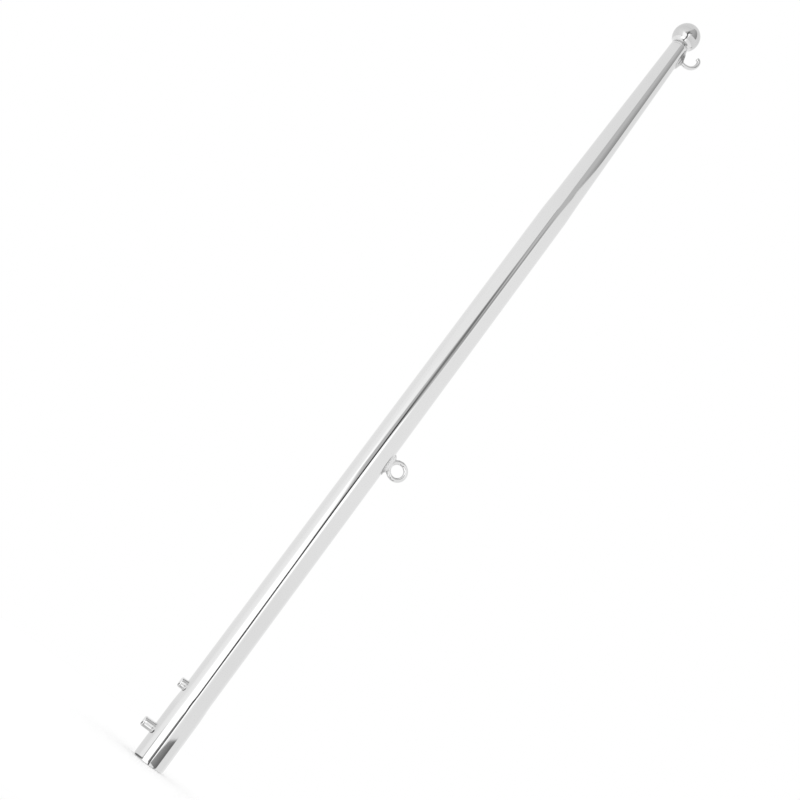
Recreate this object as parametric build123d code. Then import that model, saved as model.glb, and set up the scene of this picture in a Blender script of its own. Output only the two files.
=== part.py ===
from build123d import *
import math
import os

# A boat's flagstaff: one polished stainless tube with a parallel foot for a deck socket, two locking
# pins near the foot, a halyard ring at mid height, an open flag hook near the top and a ball on the end.
#
# Frame: +Z runs up the staff. The origin is the centre of the foot's flat end. The ring and the hook
# stand out along +X and the two pins along -X. All sizes are millimetres.

# Tube
FOOT_D = 25.4           # outside of the foot: 1 inch stock tube, which deck sockets take
FOOT_LEN = 44.0         # flat end to the start of the swage
SWAGE_LEN = 9.0         # length in which the foot is drawn down to the staff
STAFF_D = 24.2          # outside of the long parallel stretch
STAFF_LEN = 486.0
SHOULDER_D = 22.7       # outside where the steeper start of the taper ends
SHOULDER_LEN = 21.0
TOP_D = 15.8            # outside at the ball
TAPER_LEN = 195.8
WALL = 1.5
FOOT_EDGE_R = 0.6       # rounding of the foot's outer edge

# Ball
BALL_D = 25.4
BALL_WELD_LEG = 2.2     # reach of the weld along the tube and along the ball
BALL_WELD_DIP = 0.25    # how far the weld's face is hollowed

# Locking pins
PIN_D = 8.0
PIN_TENON_D = 6.0       # the thinner end that goes through the tube's wall
PIN_TENON_PAST = 1.0    # how far the tenon stands into the bore
PIN_END_R = 1.8         # rounding of a pin's free end
LOWER_PIN_UP = 21.1     # flat end of the foot to the lower pin's axis
LOWER_PIN_OUT = 8.8     # how far the lower pin stands out of the tube
UPPER_PIN_RISE = 3.8    # end of the swage to the upper pin's axis
UPPER_PIN_OUT = 5.0

# Halyard ring
RING_WIRE_D = 4.0
RING_EYE_D = 10.0       # inside of the ring
RING_DROP = 260.8       # start of the taper down to the ring's centre
RING_SEAT = 0.4         # depth of the flat ground on the ring where it meets the tube
RING_WELD_OUT = 3.0     # how far the weld stands out of the tube
RING_WELD_HALF_WIDTH = 6.0
RING_WELD_HALF_LEN = 11.5

# Flag hook
HOOK_WIRE_D = 3.8
HOOK_DROP = 14.4        # tube's top end down to the hook's root
HOOK_SHANK = 5.0        # straight length from the tube's wall to the first bend
HOOK_BEND_R = 10.2      # wide bend, on the wire's centre line
HOOK_BEND_TURN = 100.0  # degrees
HOOK_TIP_R = 3.2        # tight bend that closes the hook
HOOK_TIP_TURN = 62.0
HOOK_WELD_OUT = 2.8
HOOK_WELD_HALF_WIDTH = 4.4
HOOK_WELD_HALF_LEN = 9.5

# Heights that follow from the tube
SWAGE_TOP_Z = FOOT_LEN + SWAGE_LEN
STAFF_TOP_Z = SWAGE_TOP_Z + STAFF_LEN
SHOULDER_TOP_Z = STAFF_TOP_Z + SHOULDER_LEN
TUBE_TOP_Z = SHOULDER_TOP_Z + TAPER_LEN

# The tube's outline as pairs of outside radius and height, from the foot to the ball
OUTLINE = [
    (FOOT_D / 2, 0.0),
    (FOOT_D / 2, FOOT_LEN),
    (STAFF_D / 2, SWAGE_TOP_Z),
    (STAFF_D / 2, STAFF_TOP_Z),
    (SHOULDER_D / 2, SHOULDER_TOP_Z),
    (TOP_D / 2, TUBE_TOP_Z),
]

# The ball rests on the outer edge of the tube's top end
BALL_CENTRE_Z = TUBE_TOP_Z + math.sqrt((BALL_D / 2) ** 2 - (TOP_D / 2) ** 2)


def outside_radius(height):
    """Outside radius of the tube at a height, along the straight lines of its outline."""
    for (low_r, low_z), (high_r, high_z) in zip(OUTLINE, OUTLINE[1:]):
        if height <= high_z:
            return low_r + (high_r - low_r) * (height - low_z) / (high_z - low_z)
    return OUTLINE[-1][0]


def turned(points):
    """A solid turned about Z from a closed outline of radius and height pairs."""
    section = make_face(Polyline([(radius, 0, height) for radius, height in points], close=True))
    return revolve(section, Axis.Z)


def tube_envelope():
    """The tube with its bore filled, which trims whatever is welded to its outside."""
    return turned([(0, 0.0)] + OUTLINE + [(0, TUBE_TOP_Z)])


def ball():
    """The plain ball on the staff's end."""
    return Pos(0, 0, BALL_CENTRE_Z) * Sphere(BALL_D / 2)


def on_pin_axis(height, solid):
    """Stands a solid made along +Z on the tube's -X side at a height, with its origin on the outside."""
    return Pos(-outside_radius(height), 0, height) * Rot(0, -90, 0) * solid


def locking_pin(height, stands_out):
    """A turned pin: a tenon through the tube's wall, a shoulder against the outside and a rounded end."""
    shank = Cylinder(PIN_D / 2, stands_out, align=(Align.CENTER, Align.CENTER, Align.MIN))
    shank = fillet(shank.edges().sort_by(Axis.Z)[-1], PIN_END_R)
    tenon_len = WALL + PIN_TENON_PAST
    tenon = Cylinder(PIN_TENON_D / 2, tenon_len, align=(Align.CENTER, Align.CENTER, Align.MAX))
    return on_pin_axis(height, shank + tenon)


def pin_hole(height):
    """The hole for a pin's tenon, through the one wall."""
    return on_pin_axis(height, Cylinder(PIN_TENON_D / 2, outside_radius(height)))


LOWER_PIN_Z = LOWER_PIN_UP
UPPER_PIN_Z = SWAGE_TOP_Z + UPPER_PIN_RISE


def pole_tube():
    """The staff: one tube with an even wall, drawn down above the foot and again towards the ball."""
    bore = [(radius - WALL, height) for radius, height in OUTLINE]
    body = turned(OUTLINE + bore[::-1])
    foot_edge = body.edges().filter_by(GeomType.CIRCLE).group_by(Axis.Z)[0].sort_by(SortBy.RADIUS)[-1]
    body = fillet(foot_edge, FOOT_EDGE_R)
    return body - ball() - pin_hole(LOWER_PIN_Z) - pin_hole(UPPER_PIN_Z)


def ball_weld():
    """The hollow-faced weld that runs round the joint of tube and ball."""
    rim_r = TOP_D / 2
    lean = math.atan2(SHOULDER_D / 2 - rim_r, TAPER_LEN)
    on_tube = (rim_r + BALL_WELD_LEG * math.sin(lean), TUBE_TOP_Z - BALL_WELD_LEG * math.cos(lean))
    rim_angle = math.atan2(rim_r, BALL_CENTRE_Z - TUBE_TOP_Z)
    far_angle = rim_angle + BALL_WELD_LEG / (BALL_D / 2)
    on_ball = (BALL_D / 2 * math.sin(far_angle), BALL_CENTRE_Z - BALL_D / 2 * math.cos(far_angle))
    middle = ((on_tube[0] + on_ball[0]) / 2, (on_tube[1] + on_ball[1]) / 2)
    towards_rim = Vector(rim_r - middle[0], TUBE_TOP_Z - middle[1]).normalized()
    dip = Vector(*middle) + towards_rim * BALL_WELD_DIP
    inner_low = (rim_r - WALL / 2, on_tube[1])
    inner_high = (rim_r - WALL / 2, on_ball[1])
    face_arc = ThreePointArc((on_tube[0], 0, on_tube[1]), (dip.X, 0, dip.Y), (on_ball[0], 0, on_ball[1]))
    back = Polyline(*[(radius, 0, height) for radius, height in (on_ball, inner_high, inner_low, on_tube)])
    ring = revolve(make_face([face_arc, back]), Axis.Z)
    return ring - ball() - tube_envelope()


def weld_pad(height, stands_out, half_width, half_len):
    """A weld pad on the tube's +X side: an egg turned about a line parallel to Z, before any trimming."""
    centre_x = outside_radius(height) + stands_out - half_width
    egg = make_face([
        EllipticalCenterArc((0, 0), half_width, half_len, start_angle=-90, arc_size=180),
        Line((0, half_len), (0, -half_len)),
    ])
    upright = Rot(90, 0, 0) * egg
    return Pos(centre_x, 0, height) * revolve(upright, Axis.Z)


RING_Z = STAFF_TOP_Z - RING_DROP
RING_CENTRE_R = (RING_EYE_D + RING_WIRE_D) / 2
RING_X = STAFF_D / 2 - RING_SEAT + RING_CENTRE_R + RING_WIRE_D / 2


def halyard_ring():
    """A closed ring of round wire that lies in the plane of the staff's axis."""
    ring = Pos(RING_X, 0, RING_Z) * Rot(90, 0, 0) * Torus(RING_CENTRE_R, RING_WIRE_D / 2)
    return ring - tube_envelope()


def ring_weld():
    """The weld between the ring and the tube."""
    pad = weld_pad(RING_Z, RING_WELD_OUT, RING_WELD_HALF_WIDTH, RING_WELD_HALF_LEN)
    return pad - tube_envelope() - halyard_ring()


HOOK_Z = TUBE_TOP_Z - HOOK_DROP


def hook_path():
    """The wire's centre line: a straight shank along +X, a wide bend upwards and a tight bend back."""
    root_x = outside_radius(HOOK_Z)
    bend_x = root_x + HOOK_SHANK
    turn_a = math.radians(HOOK_BEND_TURN)
    turn_b = turn_a + math.radians(HOOK_TIP_TURN)
    bend_centre = (bend_x, HOOK_Z + HOOK_BEND_R)

    def on_arc(centre, radius, turn):
        return (centre[0] + radius * math.sin(turn), 0, centre[1] - radius * math.cos(turn))

    step = HOOK_BEND_R - HOOK_TIP_R
    tip_centre = (bend_centre[0] + step * math.sin(turn_a), bend_centre[1] - step * math.cos(turn_a))
    shank = Line((root_x - WALL / 2, 0, HOOK_Z), (bend_x, 0, HOOK_Z))
    wide = ThreePointArc(
        (bend_x, 0, HOOK_Z),
        on_arc(bend_centre, HOOK_BEND_R, turn_a / 2),
        on_arc(bend_centre, HOOK_BEND_R, turn_a),
    )
    tight = ThreePointArc(
        on_arc(bend_centre, HOOK_BEND_R, turn_a),
        on_arc(tip_centre, HOOK_TIP_R, (turn_a + turn_b) / 2),
        on_arc(tip_centre, HOOK_TIP_R, turn_b),
    )
    return Wire([shank, wide, tight])


def flag_hook():
    """An open hook bent from round wire, with a rounded tip."""
    path = hook_path()
    section = Plane(path @ 0, z_dir=path % 0) * Circle(HOOK_WIRE_D / 2)
    wire = sweep(section, path=path)
    tip = Pos(*(path @ 1)) * Sphere(HOOK_WIRE_D / 2)
    return wire + tip - tube_envelope()


def hook_weld():
    """The weld round the hook's root."""
    pad = weld_pad(HOOK_Z, HOOK_WELD_OUT, HOOK_WELD_HALF_WIDTH, HOOK_WELD_HALF_LEN)
    return pad - tube_envelope() - flag_hook()


NODES = {
    "pole_tube": pole_tube,
    "ball_finial": ball,
    "ball_weld": ball_weld,
    "flag_hook": flag_hook,
    "hook_weld": hook_weld,
    "halyard_ring": halyard_ring,
    "ring_weld": ring_weld,
    "lower_pin": lambda: locking_pin(LOWER_PIN_Z, LOWER_PIN_OUT),
    "upper_pin": lambda: locking_pin(UPPER_PIN_Z, UPPER_PIN_OUT),
}

os.makedirs("parts", exist_ok=True)
for name, make in NODES.items():
    export_step(make(), f"parts/{name}.step")
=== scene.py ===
import math

import bpy
import numpy as np
from bpy.props import FloatProperty, FloatVectorProperty, IntProperty, PointerProperty
from mathutils import Matrix, Vector


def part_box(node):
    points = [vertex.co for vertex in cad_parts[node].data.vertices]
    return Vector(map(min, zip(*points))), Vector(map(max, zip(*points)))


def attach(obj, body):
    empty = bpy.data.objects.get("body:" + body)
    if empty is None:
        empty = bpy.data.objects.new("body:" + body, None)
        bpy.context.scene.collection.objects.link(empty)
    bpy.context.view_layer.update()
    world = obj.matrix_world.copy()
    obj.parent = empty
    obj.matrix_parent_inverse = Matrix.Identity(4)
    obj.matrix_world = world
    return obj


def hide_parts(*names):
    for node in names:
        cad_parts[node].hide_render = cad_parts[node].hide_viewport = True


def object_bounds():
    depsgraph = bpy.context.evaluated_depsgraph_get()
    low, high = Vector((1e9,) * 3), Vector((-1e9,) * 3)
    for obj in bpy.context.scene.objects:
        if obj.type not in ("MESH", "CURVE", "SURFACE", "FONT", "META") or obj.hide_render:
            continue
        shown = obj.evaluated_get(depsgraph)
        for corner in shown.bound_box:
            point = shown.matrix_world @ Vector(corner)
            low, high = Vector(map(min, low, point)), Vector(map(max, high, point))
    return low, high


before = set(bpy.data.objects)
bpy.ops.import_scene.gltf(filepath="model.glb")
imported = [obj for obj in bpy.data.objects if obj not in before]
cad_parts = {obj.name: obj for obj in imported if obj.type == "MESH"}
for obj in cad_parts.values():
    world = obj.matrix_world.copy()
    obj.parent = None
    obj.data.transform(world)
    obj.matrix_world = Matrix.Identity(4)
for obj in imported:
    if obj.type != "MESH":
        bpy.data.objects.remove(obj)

bl_info = {
    "name": "Boat flagstaff",
    "version": (1, 0, 0),
    "blender": (4, 5, 0),
    "location": "View3D > Sidebar > Flagstaff",
    "description": "Builds a polished stainless boat flagstaff over its fixed CAD frame",
    "category": "Object",
}

# The staff stands on +Z with its foot's flat end at the origin. The ring and the hook stand out
# along +X and the two locking pins along -X. Lengths are metres.
MM = 0.001
BODY = "root"

CAD_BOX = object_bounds()
TUBE_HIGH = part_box("pole_tube")[1]
BALL_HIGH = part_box("ball_finial")[1]
RING_LOW, RING_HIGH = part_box("halyard_ring")
RING_WELD_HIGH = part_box("ring_weld")[1]
HOOK_WELD_LOW, HOOK_WELD_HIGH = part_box("hook_weld")

FOOT_RADIUS = TUBE_HIGH.y
TUBE_TOP = TUBE_HIGH.z
BALL_RADIUS = BALL_HIGH.y
BALL_HEIGHT = BALL_HIGH.z - BALL_RADIUS
RING_HEIGHT = (RING_LOW.z + RING_HIGH.z) / 2
RING_REACH = (RING_HIGH.z - RING_LOW.z) / 2
RING_OUT = RING_HIGH.x - RING_REACH

# How far under the tube's face the hook starts and the welds' backs lie, inside its wall
ROOT_DEPTH = 0.9 * MM


def linear(hex_value):
    """Linear red, green and blue of an sRGB hex value, by the sRGB curve."""
    channels = np.array([int(hex_value[i:i + 2], 16) / 255 for i in (1, 3, 5)])
    return tuple(np.where(channels <= 0.04045, channels / 12.92, ((channels + 0.055) / 1.055) ** 2.4))


def length(name, description, default):
    """A length that a user may change, in metres."""
    return FloatProperty(name=name, description=description, default=default, min=0.0, precision=5,
                         unit="LENGTH")


def rotation(name, description, degrees):
    """An angle that a user may change, given in degrees."""
    return FloatProperty(name=name, description=description, default=math.radians(degrees), subtype="ANGLE",
                         unit="ROTATION")


def factor(name, description, default):
    """A share from 0 to 1 that a user may change."""
    return FloatProperty(name=name, description=description, default=default, min=0.0, max=1.0,
                         subtype="FACTOR")


def colour(name, description, hex_value):
    """A colour that a user may change, given as an sRGB hex value."""
    return FloatVectorProperty(name=name, description=description, default=linear(hex_value), size=3,
                               min=0.0, max=1.0, subtype="COLOR")


class TubeSizes(bpy.types.PropertyGroup):
    """The one tube that is foot, staff and taper."""

    foot_length: length("Foot length", "Flat end to the start of the swage", 44.0 * MM)
    swage_length: length("Swage length", "Height in which the foot is drawn down to the staff", 9.0 * MM)
    staff_radius: length("Staff radius", "Outside radius of the long parallel stretch", 12.1 * MM)
    staff_top: length("Staff top", "Height where the parallel stretch ends", 539.0 * MM)
    shoulder_radius: length("Shoulder radius", "Outside radius where the slower taper starts", 11.35 * MM)
    shoulder_top: length("Shoulder top", "Height where the slower taper starts", 560.0 * MM)
    top_radius: length("Top radius", "Outside radius at the ball", 7.9 * MM)
    wall: length("Wall", "Thickness of the tube's wall", 1.5 * MM)
    edge_radius: length("Foot edge", "Depth of the rounding of the foot's outer edge", 0.5 * MM)
    edge_height: length("Foot edge height", "Height of the rounding of the foot's outer edge", 2.4 * MM)
    blend: length("Blend", "Height over which one slope runs into the next", 7.0 * MM)
    ripple: length("Ripple", "Height of the faint waves that buffing leaves", 0.006 * MM)
    segments: IntProperty(name="Segments", description="Faces round the tube", default=256, min=32, max=512)


class FittingSizes(bpy.types.PropertyGroup):
    """The ring, the hook, the pins and the welds that hold them."""

    ring_wire: length("Ring wire", "Radius of the ring's wire", 2.0 * MM)
    hook_wire: length("Hook wire", "Radius of the hook's wire", 1.9 * MM)
    hook_height: length("Hook height", "Height of the hook's root", 741.4 * MM)
    hook_shank: length("Hook shank", "Straight length from the tube to the first bend", 5.0 * MM)
    hook_bend: length("Wide bend", "Radius of the hook's wide bend, at the wire's centre", 10.2 * MM)
    hook_bend_turn: rotation("Wide bend's turn", "Angle that the wide bend turns through", 100.0)
    hook_tip: length("Tight bend", "Radius of the bend that closes the hook", 3.2 * MM)
    hook_tip_turn: rotation("Tight bend's turn", "Angle that the tight bend turns through", 62.0)
    hook_edge: length("Hook edge", "Rounding of the hook's cut end", 0.8 * MM)
    hook_cut: length("Hook cut", "Straight length between the tight bend and the rounded end", 0.5 * MM)
    pin_edge: length("Pin edge", "Rounding of a pin's free end", 1.8 * MM)
    pin_tenon: length("Pin tenon", "Radius of the thinner end in the tube's wall", 3.0 * MM)
    ring_weld_width: length("Ring weld width", "Half the width of the ring's weld round the tube", 9.0 * MM)
    ring_weld_low: length("Ring weld below", "Reach of the ring's weld down the staff", 10.9 * MM)
    ring_weld_high: length("Ring weld above", "Reach of the ring's weld up the staff", 9.3 * MM)
    hook_weld_width: length("Hook weld width", "Half the width of the hook's weld round the tube", 5.0 * MM)
    weld_leg: length("Ball weld leg", "Reach of the ball's weld along the tube and along the ball", 2.6 * MM)
    weld_ripple: length("Ball weld ripple", "Height of the ripples left in the ball's weld", 0.01 * MM)


class Finishes(bpy.types.PropertyGroup):
    """Colours and polish of the steel."""

    steel: colour("Polished steel", "Mirror-polished tube, ring, hook and pins", "#E7E7E7")
    ball: colour("Ball steel", "Turned and buffed ball", "#D7D7D7")
    weld: colour("Weld steel", "Pickled and lightly buffed weld metal", "#E9E9E9")
    # The weld shade is painted shade: a dull grey laid on the welds below the ring and above the hook's root.
    scale: colour("Weld scale", "Dull grey of the weld metal where no wheel reached", "#9E9E9E")
    bore: colour("Bore steel", "Drawn, unpolished inside of the tube", "#B8B8B8")
    polish: factor("Polish", "Roughness of the mirror polish and of the ball", 0.045)
    weld_polish: factor("Weld polish", "Roughness of the ring's and the hook's welds", 0.2)
    ball_weld_polish: factor("Ball weld polish", "Roughness of the ball's weld", 0.12)
    bore_polish: factor("Bore polish", "Roughness of the bore", 0.42)


class Studio(bpy.types.PropertyGroup):
    """The floor, the light tent and the camera."""

    floor: colour("Floor", "Matt white floor", "#F4F4F4")
    floor_radius: length("Floor radius", "Radius of the round floor", 0.45)
    tent_radius: length("Tent radius", "Radius of the tent of white cloth round the staff", 1.5)
    lens: FloatProperty(name="Lens", description="Focal length on a 36 mm sensor, in millimetres",
                        default=50.4, min=1.0)
    turn: rotation("Camera turn", "Turn of the camera's side of the studio about the staff", -7.5)
    pitch: rotation("Camera pitch", "How far the camera looks up", 17.6)
    roll: rotation("Camera roll", "How far the camera leans over", 36.79)
    camera: FloatVectorProperty(name="Camera place", description="Across, away from the viewer and up",
                                default=(-0.01095, -0.8436, 0.058), size=3, subtype="TRANSLATION",
                                unit="LENGTH")


GROUPS = {"flagstaff_tube": TubeSizes, "flagstaff_fittings": FittingSizes,
          "flagstaff_finishes": Finishes, "flagstaff_studio": Studio}


# ---- Surfaces ----------------------------------------------------------------------------------

def mesh_from_grid(name, grid, wrap_rows=False, pole_start=False, pole_end=False):
    """A closed mesh from a grid of points whose columns always wrap round.

    Neighbouring points are joined into quads. A pole row is one point, and its faces are triangles.
    If the volume, which is the sum of the tetrahedra from the origin to each triangle, is negative,
    every face is reversed so that all point outwards.
    """
    rows, columns = grid.shape[:2]
    index = np.arange(rows * columns).reshape(rows, columns)
    if pole_start:
        index[0] = index[0, 0]
    if pole_end:
        index[-1] = index[-1, 0]
    kept, index = np.unique(index, return_inverse=True)
    index = index.reshape(rows, columns)
    points = grid.reshape(-1, 3)[kept]
    below = index if wrap_rows else index[:-1]
    above = np.roll(index, -1, axis=0) if wrap_rows else index[1:]
    quads = np.stack([below, np.roll(below, -1, axis=1), np.roll(above, -1, axis=1), above], axis=-1)
    a, b, c, d = (points[quads[..., corner]] for corner in range(4))
    volume = (a * (np.cross(b, c) + np.cross(c, d))).sum()
    groups = [quads[int(pole_start):len(quads) - int(pole_end)].reshape(-1, 4)]
    if pole_start:
        groups.append(quads[0][:, [0, 2, 3]])
    if pole_end:
        groups.append(quads[-1][:, [0, 1, 2]])
    order = -1 if volume < 0 else 1
    mesh = bpy.data.meshes.new(name)
    mesh.from_pydata(points.tolist(), [], sum((faces[:, ::order].tolist() for faces in groups), []))
    mesh.validate()
    mesh.shade_smooth()
    return mesh


def piece(mesh, finishes, *nodes, slot):
    """Links a finished mesh as a piece that rides on the staff and stands for its CAD nodes."""
    obj = bpy.data.objects.new(mesh.name, mesh)
    bpy.context.scene.collection.objects.link(obj)
    for name in finishes:
        mesh.materials.append(finish(name))
    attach(obj, BODY)
    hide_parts(*nodes)


def full_round(count):
    """Evenly spaced angles of one full round, from 0."""
    return np.arange(count) * 2 * np.pi / count


def round_axis(radius, height, columns):
    """Points of radius and height pairs carried once round Z: x = r cos a, y = r sin a."""
    angle = full_round(columns)
    x = radius[:, None] * np.cos(angle)
    y = radius[:, None] * np.sin(angle)
    return np.dstack([x, y, np.broadcast_to(height[:, None], x.shape)])


def swell(grid, amount):
    """Moves each point of a grid that was carried round Z away from Z, by its own amount."""
    angle = full_round(grid.shape[1])
    grid[..., 0] += amount * np.cos(angle)
    grid[..., 1] += amount * np.sin(angle)


def ramp(values, start, end):
    """0 at the start and 1 at the end, with 3t2 - 2t3 between."""
    share = np.clip((values - start) / (end - start), 0, 1)
    return share * share * (3 - 2 * share)


def outside_radius(height, sizes):
    """Outside radius of the tube at each height.

    The straight-sided outline is averaged over a short window, so each slope runs smoothly into the
    next. The window shrinks to nothing at the two ends.
    """
    height = np.asarray(height, float)
    swage_top = sizes.foot_length + sizes.swage_length
    at = [0, sizes.foot_length, swage_top, sizes.staff_top, sizes.shoulder_top, TUBE_TOP]
    radii = [FOOT_RADIUS, FOOT_RADIUS, sizes.staff_radius, sizes.staff_radius, sizes.shoulder_radius,
             sizes.top_radius]
    reach = np.minimum(sizes.blend, np.minimum(height, TUBE_TOP - height))[..., None]
    offsets = np.linspace(-1, 1, 21)
    weights = 1 + np.cos(np.pi * offsets)
    return (np.interp(height[..., None] + reach * offsets, at, radii) * weights).sum(-1) / weights.sum()


# Faint waves that buffing leaves: share of the height, length up the tube, number round it, and start
BUFFING_WAVES = ((1.0, 71 * MM, 2, 0.0), (0.7, 43 * MM, -3, 1.3), (0.6, 330.7 * MM, 5, 0.4))


def tube_grid(sizes):
    """The tube as one closed outline carried round Z: up the outside, over the rim, down the bore.

    The foot's outer edge is a quarter of an ellipse, taller than it is deep, as a wheel leaves it, and
    its inner edge is a quarter of a circle. Faint buffing waves, sines of height and angle, are added to
    the outside. The second result is the number of rows on the outside.
    """
    turn = np.radians(np.linspace(90, 0, 15))
    foot_r = FOOT_RADIUS - sizes.edge_radius * (1 - np.cos(turn))
    foot_z = sizes.edge_height * (1 - np.sin(turn))
    # Each stretch of rows has its first height, its last one and its number, closer where the outline bends
    swage_top = sizes.foot_length + sizes.swage_length
    stretches = (
        (4 * MM, sizes.foot_length - 8 * MM, 8),
        (sizes.foot_length - 7 * MM, swage_top + 8 * MM, 26),
        (swage_top + 10 * MM, sizes.staff_top - 12 * MM, 60),
        (sizes.staff_top - 10 * MM, sizes.shoulder_top + 10 * MM, 36),
        (sizes.shoulder_top + 14 * MM, TUBE_TOP, 30),
    )
    outer_z = np.concatenate([np.linspace(*stretch) for stretch in stretches])
    outer_r = outside_radius(outer_z, sizes)
    # The bore has every third row of the outside, from a lip just under the top
    lip = 1.0 * MM
    inner_z = np.concatenate([[TUBE_TOP - lip], outer_z[-4:5:-3]])
    inner_r = outside_radius(inner_z, sizes) - sizes.wall
    inner_edge = 0.3 * MM
    turn = np.radians(np.linspace(180, 270, 5))
    edge_r = FOOT_RADIUS - sizes.wall + inner_edge * (1 + np.cos(turn))
    edge_z = inner_edge * (1 + np.sin(turn))
    radius = np.concatenate([foot_r, outer_r, inner_r, edge_r])
    height = np.concatenate([foot_z, outer_z, inner_z, edge_z])
    grid = round_axis(radius, height, sizes.segments)
    # No wave reaches the foot's edge or the last rows, which the ball's weld covers
    covered_rows = 4
    waved = np.zeros(len(radius), bool)
    waved[len(foot_r):len(foot_r) + len(outer_r) - covered_rows] = True
    angle = full_round(sizes.segments)
    wave = sum(share * np.sin(2 * np.pi * height[:, None] / wavelength + round_tube * angle + start)
               for share, wavelength, round_tube, start in BUFFING_WAVES)
    swell(grid, wave * sizes.ripple * waved[:, None])
    return grid, len(foot_r) + len(outer_r)


def ball_grid(columns=128, rows=65):
    """The ball: radius R sin t and height R cos t below the centre, from pole to pole."""
    turn = np.linspace(0, np.pi, rows)
    return round_axis(BALL_RADIUS * np.sin(turn), BALL_HEIGHT - BALL_RADIUS * np.cos(turn), columns)


def ball_weld_grid(tube, fittings, columns=192):
    """The hollow-faced weld where the ball meets the tube, carried round Z.

    Its face is a parabola that leaves the tube along its wall and meets the ball along its surface:
    (1 - t) squared of the low point, 2t(1 - t) of the crossing of the two directions and t squared of
    the high point. Low ripples run round it where the bead was laid. Its back lies inside the joint.
    """
    leg = fittings.weld_leg
    lean = math.atan2(tube.shoulder_radius - tube.top_radius, TUBE_TOP - tube.shoulder_top)
    down = np.array([math.sin(lean), -math.cos(lean)])
    low = np.array([tube.top_radius, TUBE_TOP]) + leg * down
    far = math.asin(tube.top_radius / BALL_RADIUS) + leg / BALL_RADIUS
    high = np.array([BALL_RADIUS * math.sin(far), BALL_HEIGHT - BALL_RADIUS * math.cos(far)])
    outwards = np.array([math.cos(far), math.sin(far)])
    back_along = np.linalg.solve(np.stack([-down, outwards], axis=1), high - low)[0]
    crossing = low - down * back_along
    part = np.linspace(0, 1, 17)[:, None]
    face = (1 - part) ** 2 * low + 2 * part * (1 - part) * crossing + part ** 2 * high
    # The face's two ends are sunk a hair into the steel that they meet
    sunk = 0.03 * MM
    face[0, 0] -= sunk
    face[-1] -= np.array([math.sin(far), -math.cos(far)]) * sunk
    inner = tube.top_radius - 0.8 * MM
    back_low, back_high = low[1] + 0.4 * MM, high[1] + 0.2 * MM
    outline = np.concatenate([face, [[inner, back_high], [inner, back_low]]])
    grid = round_axis(outline[:, 0], outline[:, 1], columns)
    angle = full_round(columns)
    bulge = np.zeros(len(outline))
    bulge[:len(face)] = np.sin(np.pi * part[:, 0]) ** 2
    # 44 ripples, spaced unevenly by thirds of a turn, on 7 lower and broader ones
    ripples = np.sin(44 * angle + 0.6 * np.sin(3 * angle)) + 0.5 * np.sin(7 * angle)
    swell(grid, bulge[:, None] * fittings.weld_ripple * ripples)
    return grid


def ring_grid(wire, rows=128, columns=48):
    """The ring: a circle of the wire's radius carried round a circle in the plane of X and Z."""
    centre_radius = RING_REACH - wire
    round_ring = full_round(rows)[:, None]
    round_wire = full_round(columns)[None, :]
    out = centre_radius + wire * np.cos(round_wire)
    x = RING_OUT + out * np.cos(round_ring)
    z = RING_HEIGHT + out * np.sin(round_ring)
    y = np.broadcast_to(wire * np.sin(round_wire), x.shape)
    return np.dstack([x, y, z])


def wire_grid(path, tangent, wire, edge, columns=48):
    """A round wire of radius w along a path in the plane of X and Z, with a rounded, cut far end.

    A point is the path's own, plus w cos a along the path's normal and w sin a along Y. At the far end
    w shrinks along a quarter of a circle of the edge's radius, and then to nothing, which leaves a flat.
    """
    normal = np.stack([-tangent[:, 2], np.zeros(len(path)), tangent[:, 0]], axis=1)
    turn = np.radians(np.linspace(0, 90, 8))[1:]
    rounding = path[-1] + tangent[-1] * (edge * np.sin(turn))[:, None]
    centres = np.concatenate([path[:1], path, rounding, rounding[-1:]])
    normals = np.concatenate([normal[:1], normal, np.repeat(normal[-1:], len(turn) + 1, axis=0)])
    widths = np.concatenate([[0.0], np.full(len(path), wire), wire - edge + edge * np.cos(turn), [0.0]])
    angle = full_round(columns)[None, :, None]
    sideways = np.cos(angle) * normals[:, None, :] + np.sin(angle) * np.array([0, 1, 0])
    return centres[:, None, :] + widths[:, None, None] * sideways


def hook_path(tube, fittings):
    """The hook's centre line and its direction: straight out, a wide arc upwards, then a tight arc.

    The direction's angle grows with length at a rate of 1 over the bend's radius, so each point is the
    last one plus the mean direction of the step, added up along the path.
    """
    root = float(outside_radius(fittings.hook_height, tube)) - ROOT_DEPTH
    lengths = [fittings.hook_shank + ROOT_DEPTH, fittings.hook_bend * fittings.hook_bend_turn,
               fittings.hook_tip * fittings.hook_tip_turn, fittings.hook_cut]
    marks = np.concatenate([[0.0], np.cumsum(lengths)])
    turned = fittings.hook_bend_turn + fittings.hook_tip_turn
    bends = [0.0, 0.0, fittings.hook_bend_turn, turned, turned]
    counts = (8, 40, 40, 2)
    stretches = [np.linspace(start, end, count)[1:] for start, end, count in zip(marks, marks[1:], counts)]
    along = np.concatenate([marks[:1], *stretches])
    angle = np.interp(along, marks, bends)
    middle = (angle[1:] + angle[:-1]) / 2
    step = np.diff(along)
    x = root + np.concatenate([[0.0], np.cumsum(step * np.cos(middle))])
    z = fittings.hook_height + np.concatenate([[0.0], np.cumsum(step * np.sin(middle))])
    nothing = np.zeros(len(x))
    return np.stack([x, nothing, z], axis=1), np.stack([np.cos(angle), nothing, np.sin(angle)], axis=1)


def bead_height(along, round_tube, lobes):
    """Height of a weld bead made of overlapping lobes, which is that of the highest one at each point.

    A lobe's share p is the fourth root of the sum of the fourth powers of the distance along the staff
    over its reach and of the distance round the tube over its half width, which gives a pad with
    rounded corners. Its height is its top times the square root of 1 less p to the power of its
    fullness: a higher power is a fuller bead.
    """
    height = np.zeros(along.shape)
    for top, low, high, half_width, fullness in lobes:
        share = ((along / np.where(along < 0, low, high)) ** 4 + (round_tube / half_width) ** 4) ** 0.25
        height = np.maximum(height, top * np.sqrt(np.clip(1 - share ** fullness, 0, 1)))
    return height


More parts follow.
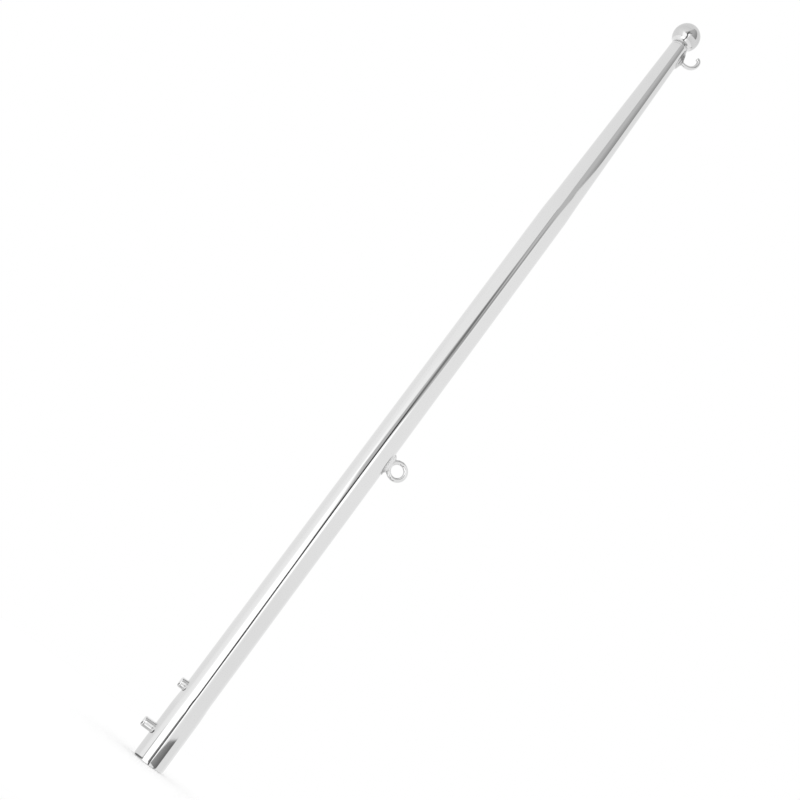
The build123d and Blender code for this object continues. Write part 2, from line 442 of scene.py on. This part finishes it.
def laid_ripples(along, round_tube, seed):
    """Ripples of a laid weld bead, as three sines of the distance along the staff and round the tube.

    The first runs across the bead and bends to and fro. Real ripples are about 1 mm apart, and these are
    drawn 2.6 mm apart, because finer ones don't show.
    """
    start = np.random.default_rng(seed).uniform(0, 2 * np.pi, 3)
    return 0.05 * MM * (np.sin(along / (0.42 * MM) + 0.8 * np.cos(round_tube / (1.6 * MM)) + start[0])
                        + 0.6 * np.sin(along / (1.9 * MM) + start[1])
                        + 0.5 * np.sin(round_tube / (1.1 * MM) + start[2]))


def pad_grid(height, lobes, tube, distance, climb, seed, columns=128, rows=64):
    """A weld pad on the tube's +X side, as a height field over a patch of the tube.

    A point of the patch has the share p of the way from the middle to the rim and the angle a, and the
    patch reaches a quarter further than the widest lobe. Near the welded wire the bead climbs with e to
    the minus square of the distance to it over its reach. The ripples fade in over the bead's lowest
    part. The rim and the back lie inside the tube's wall.
    """
    margin = 1.25
    sunk = 0.1 * MM
    fade = 0.3 * MM
    climb_reach = 0.9 * MM
    _, low, high, half_width, _ = np.max(lobes, axis=0) * margin
    share = np.sin(np.linspace(0, np.pi / 2, rows))[:, None]
    angle = full_round(columns)[None, :]
    along = share * np.cos(angle) * np.where(np.cos(angle) < 0, low, high)
    round_tube = half_width * share * np.sin(angle)
    base = outside_radius(height + along, tube)
    turn = round_tube / base

    def on_tube(out, which=slice(None)):
        """Points at a distance from the staff's axis, for all rows of the patch or for some."""
        return np.dstack([out * np.cos(turn[which]), out * np.sin(turn[which]), height + along[which]])

    bead = bead_height(along, round_tube, lobes)
    inside = np.clip(bead / fade, 0, 1)
    out = base - sunk + bead + inside * laid_ripples(along, round_tube, seed)
    away = np.clip(distance(on_tube(out)), 0, None)
    out = out + inside * climb * np.exp(-(away / climb_reach) ** 2)
    skirt = on_tube(base[-1:] - ROOT_DEPTH, slice(-1, None))
    middle = np.zeros((1, columns, 3))
    middle[..., 0] = float(outside_radius(height, tube)) - ROOT_DEPTH
    middle[..., 2] = height
    return np.concatenate([on_tube(out), skirt, middle])


def ring_weld_grid(tube, fittings):
    """The ring's weld: a full pad on a wider, lower one that runs further down the staff."""
    centre_radius = RING_REACH - fittings.ring_wire

    def distance(points):
        """How far a point is from the ring's wire."""
        out = np.hypot(points[..., 0] - RING_OUT, points[..., 2] - RING_HEIGHT) - centre_radius
        return np.hypot(out, points[..., 1]) - fittings.ring_wire

    top = RING_WELD_HIGH.x - tube.staff_radius
    low, high, width = fittings.ring_weld_low, fittings.ring_weld_high, fittings.ring_weld_width
    # Each lobe has its top, its reach down and up the staff, its half width and its fullness
    lobes = [(top, 0.65 * low, high, 0.7 * width, 5.0),
             (0.3 * top, low, high, width, 2.0)]
    return pad_grid(RING_HEIGHT, lobes, tube, distance, climb=0.5 * MM, seed=4)


def hook_weld_grid(tube, fittings):
    """The hook's weld: a round pad on a wider, lower one that runs further up the staff."""

    def distance(points):
        """How far a point is from the hook's straight shank."""
        return np.hypot(points[..., 1], points[..., 2] - fittings.hook_height) - fittings.hook_wire

    top = HOOK_WELD_HIGH.x - float(outside_radius(fittings.hook_height, tube))
    half_length = (HOOK_WELD_HIGH.z - HOOK_WELD_LOW.z) / 2
    width = fittings.hook_weld_width
    lobes = [(top, half_length, half_length, width, 2.0),
             (0.4 * top, 8 * MM, half_length + 2 * MM, 1.4 * width, 3.0)]
    return pad_grid(fittings.hook_height, lobes, tube, distance, climb=0.6 * MM, seed=9)


def ring_weld_scale(rise, over):
    """Painted shade on the ring's weld: all over below it, and on the thin rim of its lower part, where it
    meets the tube.
    """
    below = 1 - ramp(rise, -8.0 * MM, -5.0 * MM)
    rim = 1 - ramp(over, 0.15 * MM, 0.4 * MM)
    return np.maximum(0.5 * below, 0.9 * rim * (1 - ramp(rise, 0.0, 8.0 * MM)))


def hook_weld_scale(rise, over):
    """Painted shade on the hook's weld, alike at every distance over the tube.

    It is full just above the hook's root, and fades both ways along the staff.
    """
    above = ramp(rise, -2.6 * MM, -0.4 * MM)
    return (0.3 + 0.7 * above) * (1 - 0.5 * ramp(rise, 3.0 * MM, 6.0 * MM))


def leave_scale(mesh, tube, height, share):
    """Marks where painted shade darkens the weld, by a share worked out for each point.

    It depends on the point's rise above a height, and on its distance over the tube's face.
    """
    points = np.empty(len(mesh.vertices) * 3, np.float32)
    mesh.vertices.foreach_get("co", points)
    points = points.reshape(-1, 3).astype(float)
    over = np.hypot(points[:, 0], points[:, 1]) - outside_radius(points[:, 2], tube)
    values = np.clip(share(points[:, 2] - height, over), 0, 1).astype(np.float32)
    mesh.attributes.new("unbuffed", "FLOAT", "POINT").data.foreach_set("value", values)


def pin_grid(pin, tube, fittings, columns=96):
    """A locking pin turned about X: tenon, shoulder, a shallow groove at the root, shank, rounded end.

    The outline of reach along -X and radius is carried round the pin's own axis.
    """
    low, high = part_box(pin)
    radius = (high.z - low.z) / 2
    centre_z = (high.z + low.z) / 2
    tip, inner = -low.x, -high.x
    # The tenon ends 1 mm inside the bore, so the tube's face is that and a wall further out
    root = inner + 1.0 * MM + tube.wall
    edge = min(fittings.pin_edge, (tip - root) * 0.6)
    tenon = fittings.pin_tenon
    chamfer, groove = 0.25 * MM, 0.15 * MM
    chamfer_turn = np.radians([30, 60, 90])
    end_turn = np.radians(np.linspace(0, 90, 13))[1:]
    # The shoulder is under the tube's face, and the groove opens over it and slopes out to the shank
    reach = np.concatenate([
        [inner, inner], inner + chamfer * (1 - np.cos(chamfer_turn)),
        root + np.array([-1.0, -0.95, 0.12, 0.3, 0.5]) * MM,
        np.linspace(root + 0.7 * MM, tip - edge, 4),
        tip - edge + edge * np.sin(end_turn), [tip],
    ])
    width = np.concatenate([
        [0.0, tenon - chamfer], tenon - chamfer + chamfer * np.sin(chamfer_turn),
        [tenon, radius - groove, radius - groove, radius - 0.1 * MM, radius],
        [radius] * 4,
        radius - edge + edge * np.cos(end_turn), [0.0],
    ])
    angle = full_round(columns)
    y = width[:, None] * np.cos(angle)
    z = centre_z + width[:, None] * np.sin(angle)
    return np.dstack([np.broadcast_to(-reach[:, None], y.shape), y, z])


# ---- Materials ---------------------------------------------------------------------------------

def node(tree, kind, links=(), values=None, **settings):
    """Adds a node with its settings, its inputs' values, and its links as pairs of source and input."""
    made = tree.nodes.new(kind)
    for key, value in settings.items():
        setattr(made, key, value)
    for key, value in (values or {}).items():
        made.inputs[key].default_value = value
    for source, target in links:
        tree.links.new(source, made.inputs[target])
    return made


def steel(name, base, roughness, spread, streak_mm, haze_mm, grain_mm=None, bump=0.0, scale=None):
    """Stainless steel whose polish changes in streaks and in haze, over a fine grain where it has one.

    The sizes in millimetres are the widths of a streak, a patch of haze and a grain. Where the attribute that
    marks painted shade rises to 1, steel that is given a colour for it takes that colour as painted shade,
    with a duller polish.
    """
    material = bpy.data.materials.new(name)
    material.use_nodes = True
    tree = material.node_tree
    shader = tree.nodes["Principled BSDF"]
    shader.inputs["Metallic"].default_value = 1.0
    place = node(tree, "ShaderNodeTexCoord").outputs["Object"]
    # Streaks of the wheel run up the staff, 40 times as long as they are wide
    across = 1 / (streak_mm * MM)
    stretched = node(tree, "ShaderNodeMapping", [(place, "Vector")], {"Scale": (across, across, across / 40)})
    streaks = node(tree, "ShaderNodeTexNoise", [(stretched.outputs[0], "Vector")],
                   {"Scale": 1.0, "Detail": 3.0})
    # Haze from wiping lies in soft patches, which are 3% darker
    haze = node(tree, "ShaderNodeTexNoise", [(place, "Vector")], {"Scale": 1 / (haze_mm * MM), "Detail": 2.0})
    hazy = [0.97 * channel for channel in base]
    tint = node(tree, "ShaderNodeMix", [(haze.outputs["Fac"], 0)], {"A": (*base, 1), "B": (*hazy, 1)},
                data_type="RGBA")
    # Streaks times haze runs from about 0.1 to 0.45, and makes the polish duller by up to the spread
    mixed = node(tree, "ShaderNodeMath", [(streaks.outputs["Fac"], 0), (haze.outputs["Fac"], 1)],
                 operation="MULTIPLY")
    rough = node(tree, "ShaderNodeMapRange", [(mixed.outputs[0], "Value")],
                 {"From Min": 0.1, "From Max": 0.45, "To Min": roughness, "To Max": roughness + spread})
    skin, dull = tint.outputs["Result"], rough.outputs[0]
    # Painted shade hides the polish: its own dull grey colour, and a roughness that is 0.2 higher
    if scale is not None:
        left = node(tree, "ShaderNodeAttribute", attribute_name="unbuffed").outputs["Fac"]
        scaled = node(tree, "ShaderNodeMix", [(left, 0), (skin, "A")], {"B": (*scale, 1)}, data_type="RGBA")
        skin = scaled.outputs["Result"]
        duller = node(tree, "ShaderNodeMath", [(left, 0), (dull, 2)], {1: 0.2}, operation="MULTIPLY_ADD")
        dull = duller.outputs[0]
    tree.links.new(skin, shader.inputs["Base Color"])
    tree.links.new(dull, shader.inputs["Roughness"])
    if bump:
        grain = node(tree, "ShaderNodeTexNoise", [(place, "Vector")],
                     {"Scale": 1 / (grain_mm * MM), "Detail": 4.0})
        lift = node(tree, "ShaderNodeBump", [(grain.outputs["Fac"], "Height")],
                    {"Strength": 1.0, "Distance": bump})
        tree.links.new(lift.outputs[0], shader.inputs["Normal"])
    return material


def finish(name):
    """The steel of one finish, made once and shared by the pieces that have it."""
    if name in bpy.data.materials:
        return bpy.data.materials[name]
    looks = bpy.context.scene.flagstaff_finishes
    recipes = {
        # Tube, wire and pins, mirror polished on a soft wheel: a crisp, bright reflection, a little
        # softer along the wheel's marks. These are too fine to show, so they are drawn 1.2 mm wide.
        "mirror_polished_stainless": dict(
            base=looks.steel, roughness=looks.polish, spread=0.04, streak_mm=1.2, haze_mm=24),
        # Ball, turned and then buffed by hand: greyer, and its reflection softens in small patches.
        # The wheel's marks are drawn 2 mm wide, for the same reason.
        "buffed_stainless_ball": dict(
            base=looks.ball, roughness=looks.polish, spread=0.05, streak_mm=2.0, haze_mm=9),
        # Laid beads, pickled in acid and touched with a wheel: pale and satin, with a dull grey painted shade
        # below the ring and above the hook's root. The acid's fine frost is drawn 0.8 mm coarse, so that it
        # shows.
        "pickled_weld_steel": dict(
            base=looks.weld, roughness=looks.weld_polish, spread=0.2, streak_mm=0.8, haze_mm=3,
            grain_mm=0.8, bump=0.05 * MM, scale=looks.scale),
        # Ball's weld, buffed with the ball: a reflection a little softer than the tube's
        "buffed_weld_steel": dict(
            base=looks.steel, roughness=looks.ball_weld_polish, spread=0.06, streak_mm=1.0, haze_mm=3),
        # Bore, as the mill drew it: dull grey with long faint lines from the die, drawn 0.5 mm wide
        "drawn_steel_bore": dict(
            base=looks.bore, roughness=looks.bore_polish, spread=0.2, streak_mm=0.5, haze_mm=12,
            grain_mm=0.6, bump=0.02 * MM),
    }
    return steel(name, **recipes[name])


# ---- Stage -------------------------------------------------------------------------------------

def camera_axes(studio):
    """Across, away and up in the studio, turned about the staff."""
    across = Vector((math.cos(studio.turn), math.sin(studio.turn), 0))
    away = Vector((-math.sin(studio.turn), math.cos(studio.turn), 0))
    return across, away, Vector((0, 0, 1))


def add_camera(studio):
    """The camera looks up at the staff and leans, so that the staff crosses the picture."""
    across, away, up = camera_axes(studio)
    sight = away * math.cos(studio.pitch) + up * math.sin(studio.pitch)
    rise = up * math.cos(studio.pitch) - away * math.sin(studio.pitch)
    right = across * math.cos(studio.roll) + rise * math.sin(studio.roll)
    top = rise * math.cos(studio.roll) - across * math.sin(studio.roll)
    place = across * studio.camera[0] + away * studio.camera[1] + up * studio.camera[2]
    data = bpy.data.cameras.new("camera")
    data.lens = studio.lens
    data.sensor_width = 36.0
    data.clip_start = 10 * MM
    data.clip_end = 10 * studio.tent_radius
    camera = bpy.data.objects.new("camera", data)
    bpy.context.scene.collection.objects.link(camera)
    axes = Matrix((right, top, -sight)).transposed().to_4x4()
    camera.matrix_world = Matrix.Translation(place) @ axes
    bpy.context.scene.camera = camera


# The cloth of the tent as seen from the staff's middle. Each shape is a soft-edged area with straight
# sides: its brightness, where 1 is white, the width of its soft edge, and its corners as degrees round
# the staff from the camera's side and degrees up, anticlockwise.
TENT_SHAPES = (
    # Cloth that gets less light: low on the left behind the staff, and on the right
    (0.88, 12, ((-150, -60), (-85, -60), (-85, -11), (-150, -11))),
    (0.91, 14, ((24, -62), (120, -62), (120, 0), (24, 0))),
    # Glow and core of the large softbox on the left
    (1.02, 30, ((-78, -66), (-8, -66), (-8, 22), (-78, 22))),
    (1.12, 14, ((-53, -60), (-8, -60), (-8, 17), (-53, 17))),
    (1.42, 7, ((-45, -57), (-4, -57), (-4, 8), (-28, 9.5), (-45, 11))),
    # Strip of white on the right of the slit, with its glow
    (1.05, 10, ((0, -20), (16, -20), (17, 17), (0, 13))),
    (1.42, 4, ((-3, -19), (11.5, -19), (12.5, 16.5), (0, 12), (-5, 7))),
    (1.30, 8, ((3, -66), (22, -66), (22, -47), (3, -47))),
    # Grey wedge of the open flap, and the grey overhead with its darker and paler folds
    (0.56, 4.3, ((-37, 8.5), (-18, 5.7), (-4, 8.3), (-4, 29), (-10, 29), (-26, 16.5))),
    (0.52, 3.5, ((-21, 7.0), (-13, 0.6), (-8, 0.6), (-6, 10))),
    (0.56, 3.5, ((-6, 11), (12, 16), (20, 23), (23, 30), (-6, 30))),
    (0.58, 5, ((-12, 28), (22, 28.5), (33, 39.5), (35, 72), (17, 72))),
    (0.25, 4, ((8, 21), (13, 21), (20, 33), (15, 33))),
    (0.42, 2, ((-9, 27), (-5, 27), (-5, 37), (-8, 37))),
    (1.06, 4, ((21, 20), (25, 20), (31, 33), (27, 33))),
    # The camera behind the slit
    (0.20, 7, ((-13, 14), (0, 14), (5, 22), (-1, 29.5), (-11, 27))),
    # A lamp stand seen past the softbox, and the table below
    (0.40, 4, ((-56, -34), (-45, -34), (-46, -21), (-54, -21))),
    (0.35, 2, ((-53, -24), (-48.5, -24), (-48.5, -16.5), (-52.5, -16.5))),
    (0.60, 12, ((-400, -100), (400, -100), (400, -64), (-400, -64))),
    (0.86, 10, ((-170, -100), (-35, -100), (-35, -60), (-170, -60))),
    # The room over the open top of the tent
    (0.18, 5, ((-100, 54), (3, 54), (3, 84), (-100, 84))),
    (0.30, 6, ((-400, 74), (400, 74), (400, 84), (-400, 84))),
)

# The slit for the lens, in stretches: brightness, width, soft edge and the points of the middle line
TENT_SLITS = (
    (0.22, 8.5, 2.5, ((-7.5, 11), (-4, 20))),
    (0.04, 9.0, 2.5, ((9, -66), (3, -23), (1.5, -15), (0.3, -10), (-3.7, -4), (-7.8, 5))),
    (0.04, 9.5, 2.5, ((-7.7, 5), (-6.9, 11))),
    (0.24, 9.0, 2.5, ((-2, -26), (-3.5, -21), (-3, -17.5))),
)

# Cards near the staff, each with its distance in metres, its corners as degrees round and millimetres
# up, its soft edge, and its brightness on the right and on the left
CARDS = {
    # Grey band up the taper and grey patch on the ball
    "grey_card": (0.35, ((20, 759), (69, 834), (71, 880), (50, 1485), (26, 1485)), 6, 0.30, 0.60),
    # Dark patch on the foot
    "dark_card": (0.25, ((8, -22), (40, -75), (62, -75), (62, 14.5), (24, 11), (14, 0)), 3.5, 0.14, 0.38),
    # Dark lines along the foot's rounded edge, on the right and on the left
    "foot_card": (0.25, ((46, -50), (50, -400), (62, -400), (62, -50)), 3.5, 0.15, 0.25),
    "low_card": (0.45, ((-135, -294), (-52, -294), (-52, -80), (-135, -80)), 10, 0.20, 0.15),
    # Hoods that keep the room over the tent off the ball's left and top
    "left_hood": (0.10, ((-130, 850), (4, 850), (4, 1000), (-130, 1000)), 8, 0.90, 0.90),
    "top_hood": (0.10, ((-140, 958), (220, 958), (220, 3000), (-140, 3000)), 8, 0.90, 0.90),
}


def soft_line(across, up, width, soft, path):
    """Share of cover of a bent line: half its width less the distance to its nearest run, made soft."""
    nearest = np.full(np.broadcast(across, up).shape, np.inf)
    for (x0, y0), (x1, y1) in zip(path, path[1:]):
        run, rise = x1 - x0, y1 - y0
        along = np.clip(((across - x0) * run + (up - y0) * rise) / (run ** 2 + rise ** 2), 0, 1)
        nearest = np.minimum(nearest, np.hypot(across - x0 - along * run, up - y0 - along * rise))
    return ramp(width / 2 - nearest, -soft / 2, soft / 2)


def soft_area(across, up, corners, soft):
    """Share of cover at each point, from 0 to 1, of an area with straight sides.

    It is the least distance inside the sides, made soft over the width of the edge.
    """
    inside = np.full(np.broadcast(across, up).shape, np.inf)
    for (x0, y0), (x1, y1) in zip(corners, corners[1:] + corners[:1]):
        side = math.hypot(x1 - x0, y1 - y0)
        inside = np.minimum(inside, ((x1 - x0) * (up - y0) - (y1 - y0) * (across - x0)) / side)
    return ramp(inside, -soft / 2, soft / 2)


def glossy_only(obj):
    """Leaves a stage piece to be seen in the polished steel alone, so that no view is blocked."""
    obj.visible_camera = obj.visible_diffuse = obj.visible_transmission = False
    obj.visible_volume_scatter = obj.visible_shadow = False


def lit_cloth(name, points, glow, cover=None):
    """A stage sheet whose points each have a brightness, and a share of cover where its edge is soft."""
    rows, columns = points.shape[:2]
    index = np.arange(rows * columns).reshape(rows, columns)
    quads = np.stack([index[:-1, :-1], index[:-1, 1:], index[1:, 1:], index[1:, :-1]], axis=-1)
    mesh = bpy.data.meshes.new(name)
    mesh.from_pydata(points.reshape(-1, 3).tolist(), [], quads.reshape(-1, 4).tolist())
    material = bpy.data.materials.new(f"{name}_cloth")
    material.use_nodes = True
    tree = material.node_tree
    tree.nodes.clear()
    for attribute, values in (("glow", glow), ("cover", cover)):
        if values is not None:
            layer = mesh.attributes.new(attribute, "FLOAT", "POINT")
            layer.data.foreach_set("value", np.ravel(values).astype(np.float32))
    level = node(tree, "ShaderNodeAttribute", attribute_name="glow").outputs["Fac"]
    light = node(tree, "ShaderNodeEmission", [(level, "Strength")]).outputs[0]
    if cover is not None:
        share = node(tree, "ShaderNodeAttribute", attribute_name="cover").outputs["Fac"]
        clear = node(tree, "ShaderNodeBsdfTransparent").outputs[0]
        light = node(tree, "ShaderNodeMixShader", [(share, 0), (clear, 1), (light, 2)]).outputs[0]
    node(tree, "ShaderNodeOutputMaterial", [(light, "Surface")])
    mesh.materials.append(material)
    obj = bpy.data.objects.new(name, mesh)
    bpy.context.scene.collection.objects.link(obj)
    glossy_only(obj)


def studio_points(across, away, distance, degrees, height):
    """Points at a distance d from the staff: d sin a across, d cos a towards the camera, and a height."""
    turn = np.radians(degrees)
    sideways = (distance * np.sin(turn))[..., None] * np.array(across)
    nearer = (distance * np.cos(turn))[..., None] * -np.array(away)
    return sideways + nearer + height[..., None] * np.array([0.0, 0.0, 1.0])


def add_tent(studio):
    """A round tent of white cloth: a sphere about the staff's middle, lit through the cloth.

    Its plain brightness falls a little from 28 to 48 degrees up, and rises from 125 degrees round, which
    is behind the staff. The shapes and then the slit are laid over it in their order.
    """
    across, away, _ = camera_axes(studio)
    degrees, up = np.meshgrid(np.linspace(-180, 180, 721), np.linspace(-90, 90, 241))
    overhead = np.clip((up - 28) / 20, 0, 1)
    behind = np.clip((np.abs(degrees) - 125) / 50, 0, 1) ** 2
    glow = 0.95 - 0.06 * overhead + 0.14 * behind
    for level, soft, corners in TENT_SHAPES:
        glow += (level - glow) * soft_area(degrees, up, corners, soft)
    for level, width, soft, path in TENT_SLITS:
        glow += (level - glow) * soft_line(degrees, up, width, soft, path)
    flat = studio.tent_radius * np.cos(np.radians(up))
    height = CAD_BOX[1].z / 2 + studio.tent_radius * np.sin(np.radians(up))
    lit_cloth("light_tent", studio_points(across, away, flat, degrees, height), glow)


def add_card(name, studio, distance, corners, soft, dark, pale):
    """A grey card bent round the staff, given by its corners as degrees round and millimetres up.

    Its brightness runs evenly from pale at its left side to dark at its right side.
    """
    across, away, _ = camera_axes(studio)
    points = 61
    sides = np.array(corners, float)
    low, high = sides.min(axis=0) - soft, sides.max(axis=0) + soft
    degrees, height = np.meshgrid(*np.linspace(low, high, points, axis=1))
    cover = soft_area(degrees, height, corners, soft)
    glow = pale + (dark - pale) * np.clip((degrees - sides[:, 0].min()) / np.ptp(sides[:, 0]), 0, 1)
    where = studio_points(across, away, np.full(degrees.shape, distance), degrees, height * MM)
    lit_cloth(name, where, glow, cover)


def add_floor(studio):
    """A round matt floor just under the foot. It is a plain pale white and keeps the staff's shadow.

    A low glow of its own makes it as pale as the world where it is seen straight, in a mirror or through
    glass. From below it is clear, so that it hides nothing.
    """
    sides, drop, own_glow = 96, 0.2 * MM, 0.12
    angle = full_round(sides)
    rim = np.stack([studio.floor_radius * np.cos(angle), studio.floor_radius * np.sin(angle),
                    np.full(sides, -drop)], axis=1)
    mesh = bpy.data.meshes.new("floor")
    mesh.from_pydata(rim.tolist(), [], [list(range(sides))])
    material = bpy.data.materials.new("matt_white_floor")
    material.use_nodes = True
    tree = material.node_tree
    tree.nodes.clear()
    matt = node(tree, "ShaderNodeBsdfDiffuse", values={"Color": (*studio.floor, 1)})
    seen = node(tree, "ShaderNodeLightPath").outputs
    direct = node(tree, "ShaderNodeMath", [(seen["Is Camera Ray"], 0), (seen["Is Glossy Ray"], 1)],
                  operation="MAXIMUM")
    shown = node(tree, "ShaderNodeMath", [(direct.outputs[0], 0), (seen["Is Transmission Ray"], 1)],
                 operation="MAXIMUM")
    lifted = node(tree, "ShaderNodeMath", [(shown.outputs[0], 0)], {1: own_glow}, operation="MULTIPLY")
    glow = node(tree, "ShaderNodeEmission", [(lifted.outputs[0], "Strength")])
    both = node(tree, "ShaderNodeAddShader", [(matt.outputs[0], 0), (glow.outputs[0], 1)])
    under = node(tree, "ShaderNodeNewGeometry").outputs["Backfacing"]
    clear = node(tree, "ShaderNodeBsdfTransparent")
    one_sided = node(tree, "ShaderNodeMixShader", [(under, 0), (both.outputs[0], 1), (clear.outputs[0], 2)])
    node(tree, "ShaderNodeOutputMaterial", [(one_sided.outputs[0], "Surface")])
    mesh.materials.append(material)
    obj = bpy.data.objects.new("floor", mesh)
    bpy.context.scene.collection.objects.link(obj)
    obj.visible_glossy = False


# ---- Operators ---------------------------------------------------------------------------------

class FLAGSTAFF_OT_tube(bpy.types.Operator):
    """Make the swaged and tapered tube"""

    bl_idname = "flagstaff.tube"
    bl_label = "Tube"

    def execute(self, context):
        grid, outside_rows = tube_grid(context.scene.flagstaff_tube)
        mesh = mesh_from_grid("staff_tube", grid, wrap_rows=True)
        piece(mesh, ["mirror_polished_stainless", "drawn_steel_bore"], "pole_tube", slot="polished_steel")
        inside = np.repeat(np.arange(len(grid)) >= outside_rows, grid.shape[1]).astype(np.int32)
        mesh.polygons.foreach_set("material_index", inside)
        return {"FINISHED"}


class FLAGSTAFF_OT_ball(bpy.types.Operator):
    """Make the ball and the weld that holds it"""

    bl_idname = "flagstaff.ball"
    bl_label = "Ball"

    def execute(self, context):
        tube, fittings = context.scene.flagstaff_tube, context.scene.flagstaff_fittings
        mesh = mesh_from_grid("finial_ball", ball_grid(), pole_start=True, pole_end=True)
        piece(mesh, ["buffed_stainless_ball"], "ball_finial", slot="polished_steel")
        mesh = mesh_from_grid("ball_weld_bead", ball_weld_grid(tube, fittings), wrap_rows=True)
        piece(mesh, ["buffed_weld_steel"], "ball_weld", slot="weld_steel")
        return {"FINISHED"}


class FLAGSTAFF_OT_ring(bpy.types.Operator):
    """Make the halyard ring and its weld"""

    bl_idname = "flagstaff.ring"
    bl_label = "Ring"

    def execute(self, context):
        tube, fittings = context.scene.flagstaff_tube, context.scene.flagstaff_fittings
        mesh = mesh_from_grid("halyard_eye_ring", ring_grid(fittings.ring_wire), wrap_rows=True)
        piece(mesh, ["mirror_polished_stainless"], "halyard_ring", slot="polished_steel")
        grid = ring_weld_grid(tube, fittings)
        mesh = mesh_from_grid("ring_weld_bead", grid, pole_start=True, pole_end=True)
        leave_scale(mesh, tube, RING_HEIGHT, ring_weld_scale)
        piece(mesh, ["pickled_weld_steel"], "ring_weld", slot="weld_steel")
        return {"FINISHED"}


class FLAGSTAFF_OT_hook(bpy.types.Operator):
    """Make the flag hook and its weld"""

    bl_idname = "flagstaff.hook"
    bl_label = "Hook"

    def execute(self, context):
        tube, fittings = context.scene.flagstaff_tube, context.scene.flagstaff_fittings
        grid = wire_grid(*hook_path(tube, fittings), fittings.hook_wire, fittings.hook_edge)
        mesh = mesh_from_grid("flag_hook_wire", grid, pole_start=True, pole_end=True)
        piece(mesh, ["mirror_polished_stainless"], "flag_hook", slot="polished_steel")
        grid = hook_weld_grid(tube, fittings)
        mesh = mesh_from_grid("hook_weld_bead", grid, pole_start=True, pole_end=True)
        leave_scale(mesh, tube, fittings.hook_height, hook_weld_scale)
        piece(mesh, ["pickled_weld_steel"], "hook_weld", slot="weld_steel")
        return {"FINISHED"}


class FLAGSTAFF_OT_pins(bpy.types.Operator):
    """Make the two locking pins"""

    bl_idname = "flagstaff.pins"
    bl_label = "Pins"

    def execute(self, context):
        tube, fittings = context.scene.flagstaff_tube, context.scene.flagstaff_fittings
        for pin in ("lower_pin", "upper_pin"):
            grid = pin_grid(pin, tube, fittings)
            mesh = mesh_from_grid(f"{pin}_turned", grid, pole_start=True, pole_end=True)
            piece(mesh, ["mirror_polished_stainless"], pin, slot="polished_steel")
        return {"FINISHED"}


class FLAGSTAFF_OT_stage(bpy.types.Operator):
    """Make the floor, the light and the camera"""

    bl_idname = "flagstaff.stage"
    bl_label = "Stage"

    def execute(self, context):
        studio = context.scene.flagstaff_studio
        add_camera(studio)
        add_tent(studio)
        for name, card in CARDS.items():
            add_card(name, studio, *card)
        add_floor(studio)
        # The white world lights the floor and is the plain background
        world = bpy.data.worlds.new("studio")
        context.scene.world = world
        world.use_nodes = True
        world.node_tree.nodes["Background"].inputs["Color"].default_value = (1, 1, 1, 1)
        context.scene.view_settings.view_transform = "Standard"
        return {"FINISHED"}


class FLAGSTAFF_PT_panel(bpy.types.Panel):
    """Lists the pieces and their sizes in the sidebar"""

    bl_idname = "FLAGSTAFF_PT_panel"
    bl_label = "Flagstaff"
    bl_space_type = "VIEW_3D"
    bl_region_type = "UI"
    bl_category = "Flagstaff"

    def draw(self, context):
        for operator in OPERATORS:
            self.layout.operator(operator.bl_idname)
        for name, group in GROUPS.items():
            box = self.layout.box()
            for key in group.__annotations__:
                box.prop(getattr(context.scene, name), key)


OPERATORS = (FLAGSTAFF_OT_stage, FLAGSTAFF_OT_tube, FLAGSTAFF_OT_ball, FLAGSTAFF_OT_ring, FLAGSTAFF_OT_hook,
             FLAGSTAFF_OT_pins)
CLASSES = (*GROUPS.values(), *OPERATORS, FLAGSTAFF_PT_panel)


def register():
    for each in CLASSES:
        bpy.utils.register_class(each)
    for name, group in GROUPS.items():
        setattr(bpy.types.Scene, name, PointerProperty(type=group))


def unregister():
    for name in GROUPS:
        delattr(bpy.types.Scene, name)
    for each in reversed(CLASSES):
        bpy.utils.unregister_class(each)


def main():
    """Registers the add-on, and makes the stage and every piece."""
    register()
    for operator in OPERATORS:
        group, call = operator.bl_idname.split(".")
        getattr(getattr(bpy.ops, group), call)()


if __name__ == "__main__":
    main()
